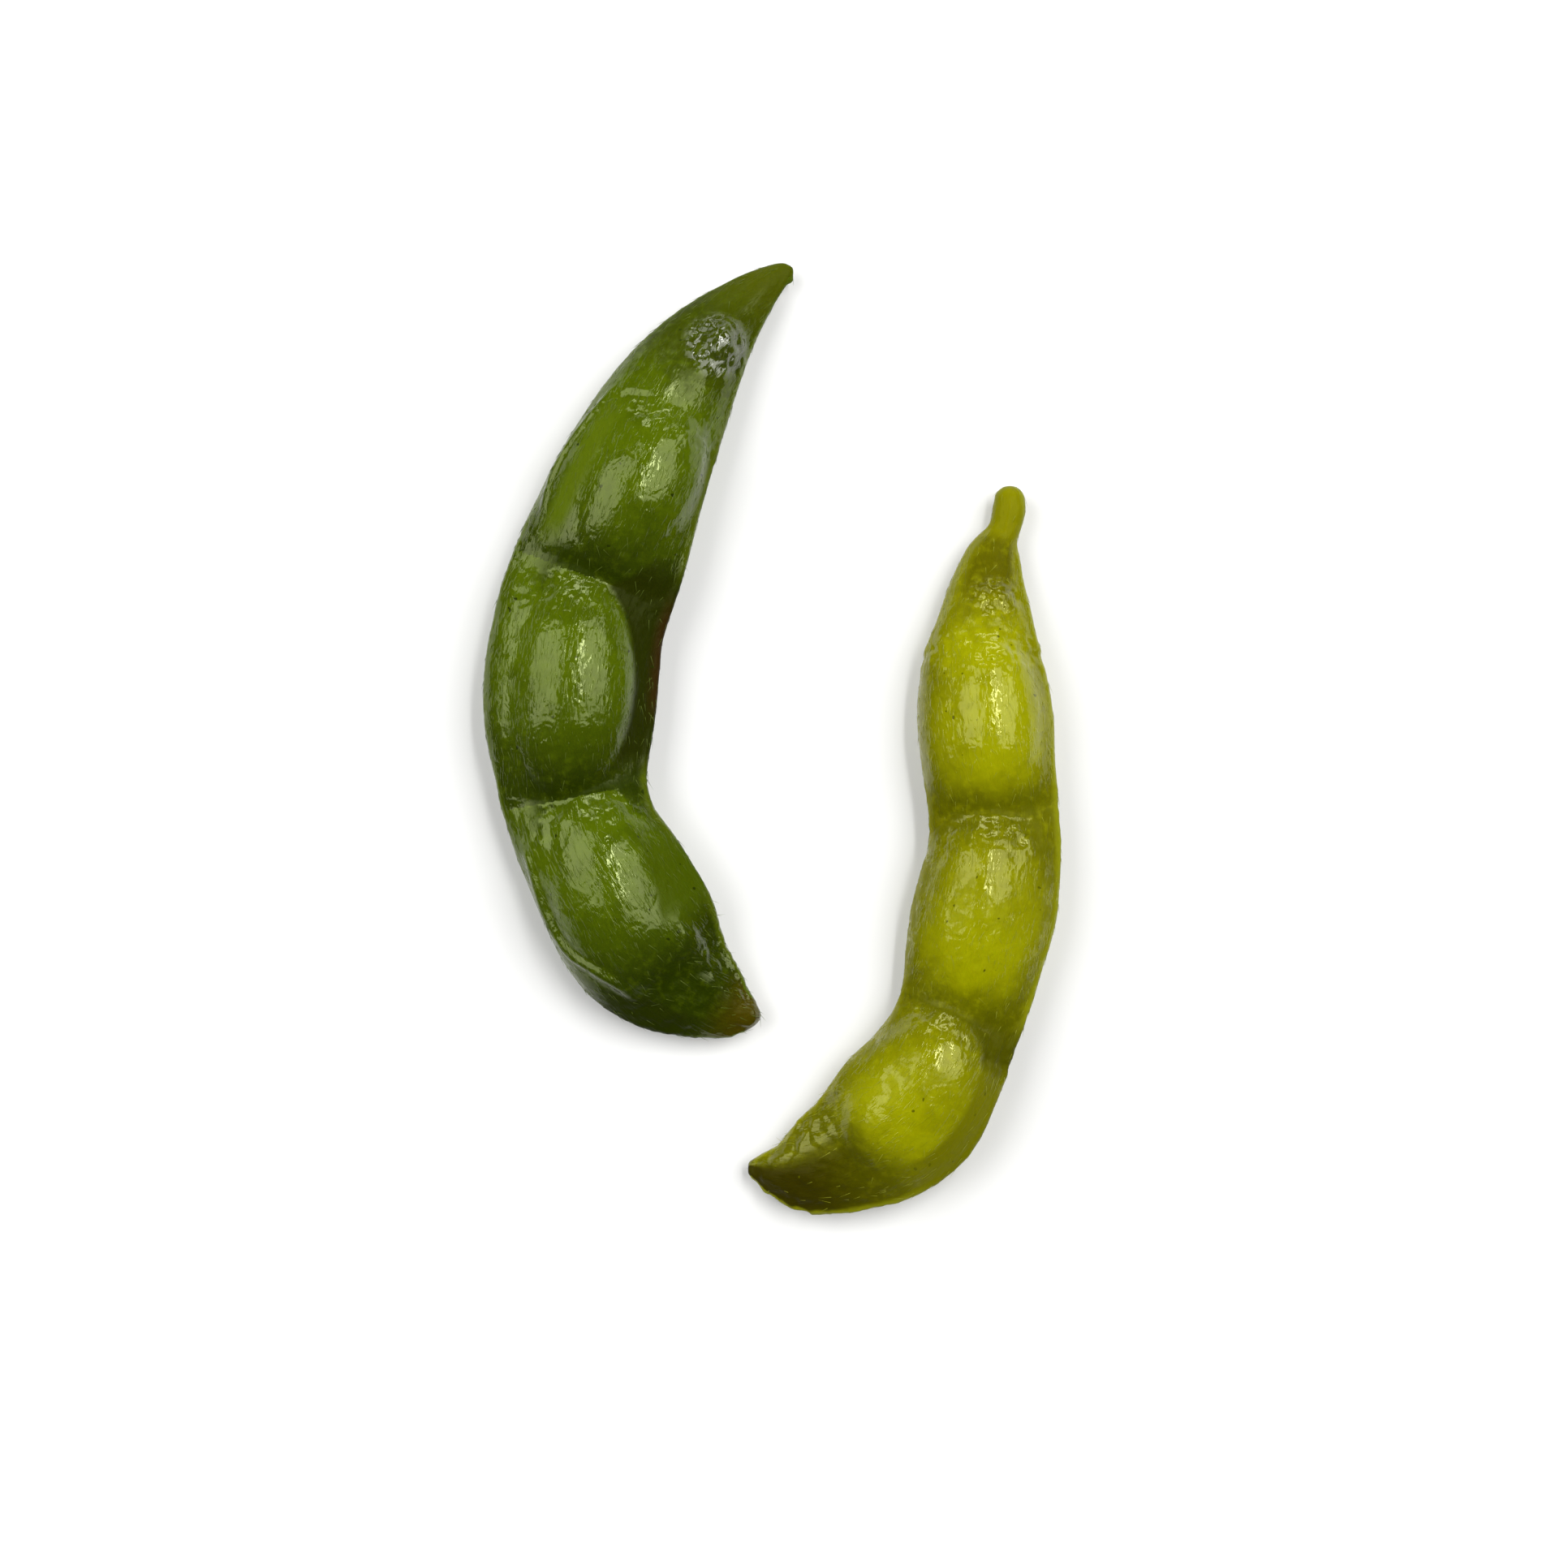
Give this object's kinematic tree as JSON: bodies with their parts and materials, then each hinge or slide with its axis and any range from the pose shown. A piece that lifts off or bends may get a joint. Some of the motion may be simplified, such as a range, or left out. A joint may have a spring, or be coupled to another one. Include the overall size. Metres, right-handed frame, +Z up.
{
  "type": "edamame pod bundle",
  "caption": "Loose boiled edamame pods lying flat side by side, one dark green and one yellow-green, each a curved hairy husk swollen over its beans.",
  "frame": {"origin": "on the surface that the pods lie on, under the middle of the pair's box", "axes": "+Y along the pair's length towards the pods' stalk ends, +X from the dark pod to the light one, +Z up out of the surface"},
  "size_m": [0.0462, 0.077, 0.0092],
  "materials": {
    "dark_green_skin": "boiled pod skin, wet and softly glossy, dark green with short pale hairs and a brown seam",
    "yellow_green_skin": "boiled pod skin, wet and softly glossy, yellow-green with olive tips and fine dark specks"
  },
  "bodies": {
    "root": {"dark_green_pod": "dark_green_skin", "light_green_pod": "yellow_green_skin"}
  },
  "joints": []
}
